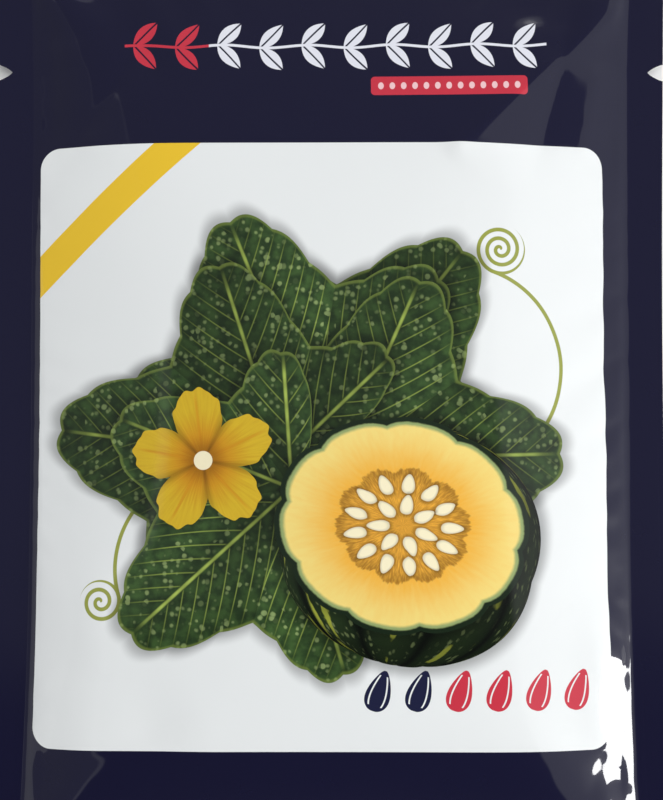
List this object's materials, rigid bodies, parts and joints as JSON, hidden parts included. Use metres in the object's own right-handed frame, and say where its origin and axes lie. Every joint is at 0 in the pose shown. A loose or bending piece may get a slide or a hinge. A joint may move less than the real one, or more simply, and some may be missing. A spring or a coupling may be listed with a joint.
{
  "type": "seed packet",
  "caption": "Sealed flat seed packet: two printed foil films heat sealed round their edges over a bed of squash seeds, with a tear notch in each side.",
  "frame": {"origin": "on the surface that the packet lies on, below the middle of its outline", "axes": "+X across the packet's width, +Y up the print towards the top edge with the tear notches, +Z out of the printed front"},
  "size_m": [0.15, 0.215, 0.018],
  "materials": {
    "printed_front_film": "glossy reverse-printed foil laminate, navy with a white panel and a yellow corner band",
    "back_film": "glossy navy foil laminate",
    "seed_shell": "dry matt cream seed shell"
  },
  "bodies": {
    "root": {"front_film": "printed_front_film", "back_film": "back_film", "seed_01": "seed_shell", "seed_02": "seed_shell", "seed_03": "seed_shell", "seed_04": "seed_shell", "seed_05": "seed_shell", "seed_06": "seed_shell", "seed_07": "seed_shell", "seed_08": "seed_shell", "seed_09": "seed_shell", "seed_10": "seed_shell", "seed_11": "seed_shell", "seed_12": "seed_shell", "seed_13": "seed_shell", "seed_14": "seed_shell", "seed_15": "seed_shell", "seed_16": "seed_shell", "seed_17": "seed_shell", "seed_18": "seed_shell", "seed_19": "seed_shell", "seed_20": "seed_shell", "seed_21": "seed_shell", "seed_22": "seed_shell", "seed_23": "seed_shell", "seed_24": "seed_shell", "seed_25": "seed_shell", "seed_26": "seed_shell", "seed_27": "seed_shell", "seed_28": "seed_shell", "seed_29": "seed_shell", "seed_30": "seed_shell", "seed_31": "seed_shell", "seed_32": "seed_shell", "seed_33": "seed_shell", "seed_34": "seed_shell", "seed_35": "seed_shell", "seed_36": "seed_shell", "seed_37": "seed_shell", "seed_38": "seed_shell", "seed_39": "seed_shell", "seed_40": "seed_shell", "seed_41": "seed_shell", "seed_42": "seed_shell", "seed_43": "seed_shell", "seed_44": "seed_shell", "seed_45": "seed_shell", "seed_46": "seed_shell", "seed_47": "seed_shell", "seed_48": "seed_shell", "seed_49": "seed_shell", "seed_50": "seed_shell", "seed_51": "seed_shell", "seed_52": "seed_shell", "seed_53": "seed_shell", "seed_54": "seed_shell", "seed_55": "seed_shell", "seed_56": "seed_shell"}
  },
  "joints": []
}
